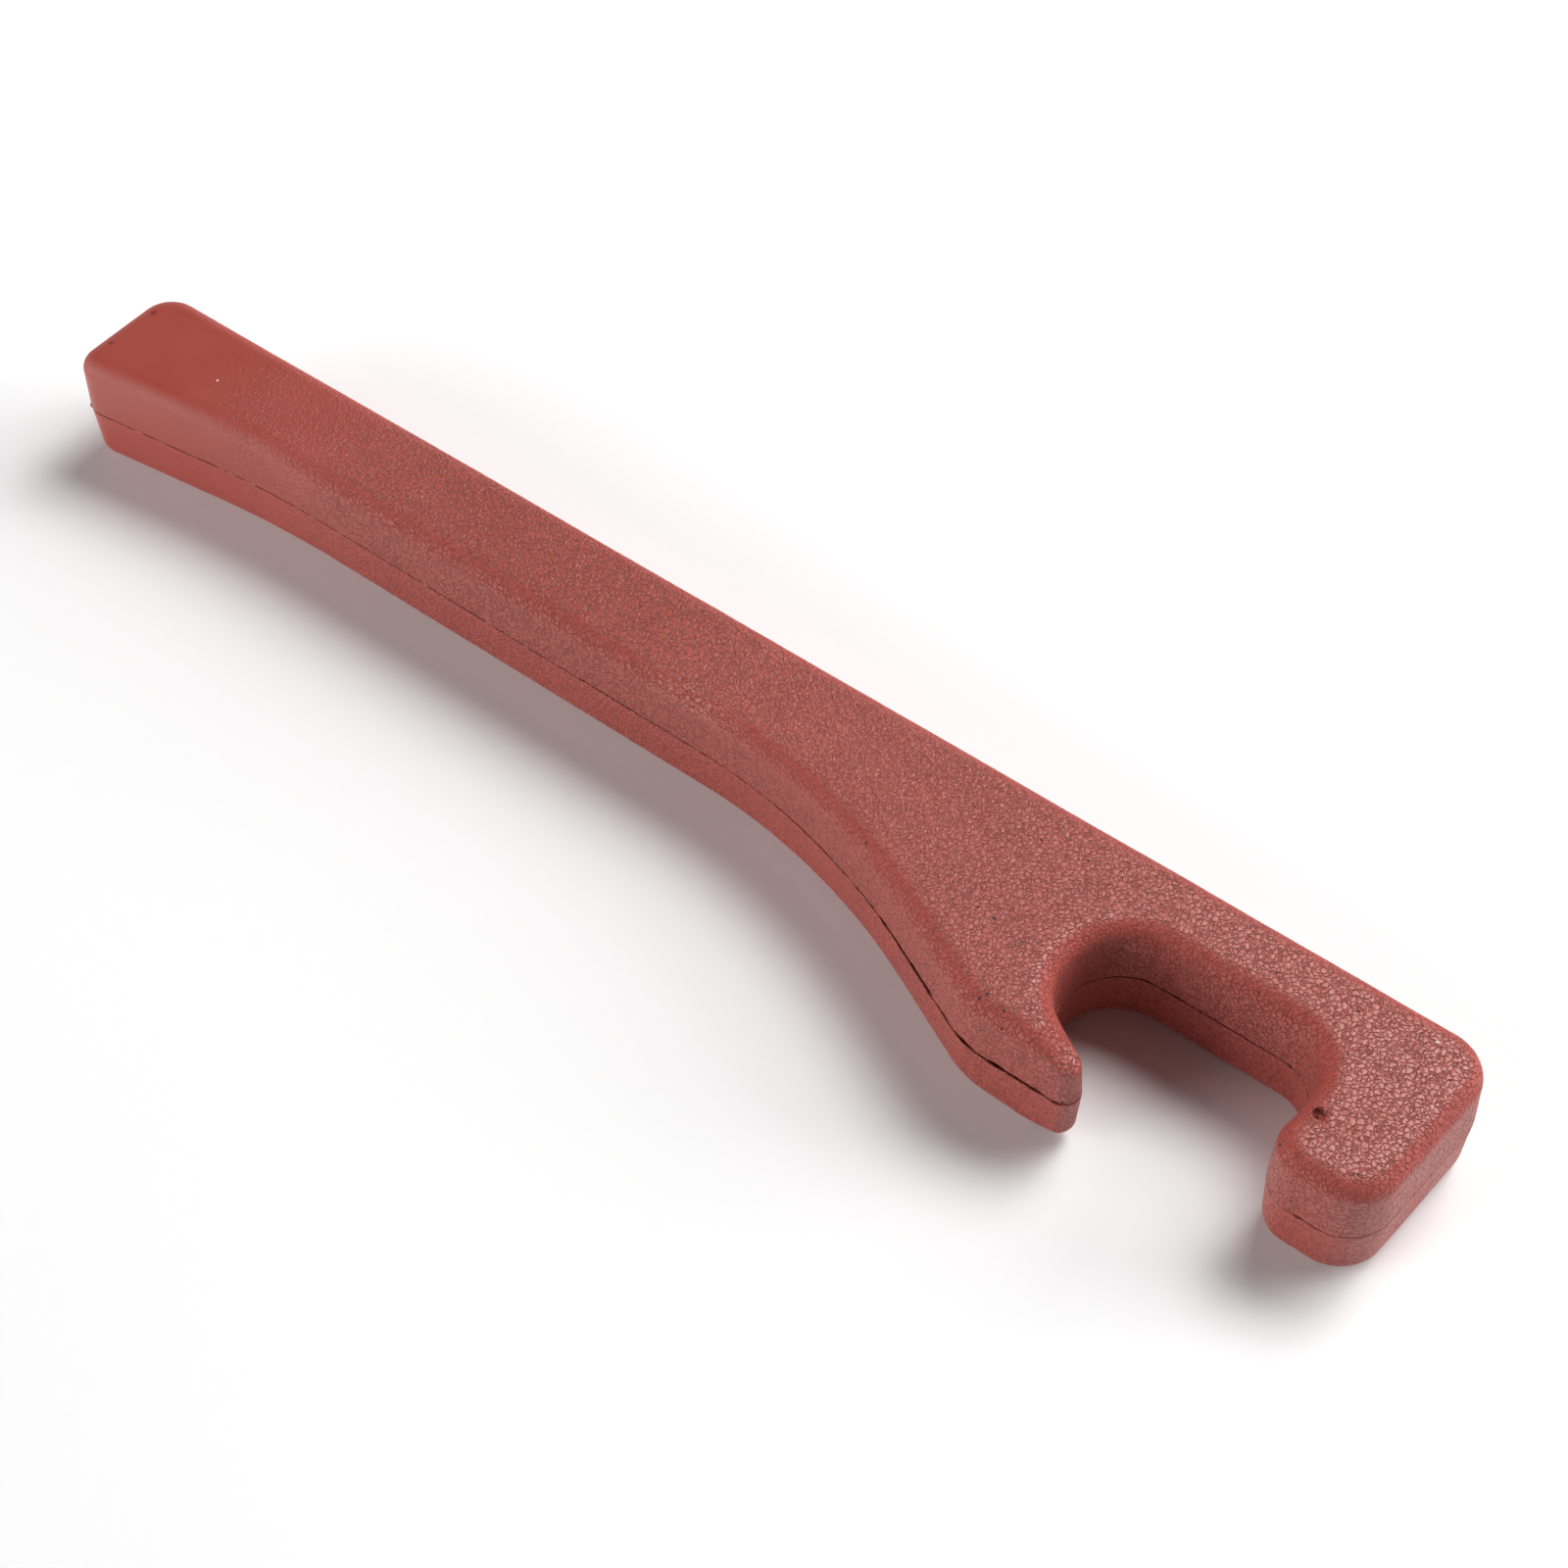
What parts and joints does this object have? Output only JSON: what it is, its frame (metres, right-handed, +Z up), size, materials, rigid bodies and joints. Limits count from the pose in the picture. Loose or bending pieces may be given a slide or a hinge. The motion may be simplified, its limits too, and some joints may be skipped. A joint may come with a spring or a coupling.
{
  "type": "car seat gap filler",
  "caption": "Long soft foam bar with a leather-grained skin, flared at one end, with a side notch and a hooked end that fit around a seat-belt buckle stalk.",
  "frame": {"origin": "middle of the bounding box on the flat face that it lies on", "axes": "+X along the bar towards the hooked end, +Y towards the long straight back edge, +Z up through the thickness"},
  "size_m": [0.4495, 0.066, 0.038],
  "materials": {
    "upper_skin": "satin leather-grained polyurethane skin",
    "lower_skin": "satin leather-grained polyurethane skin",
    "foam": "matte open-cell polyurethane foam"
  },
  "bodies": {
    "root": {"upper_skin": "upper_skin", "lower_skin": "lower_skin", "foam_core": "foam"}
  },
  "joints": []
}
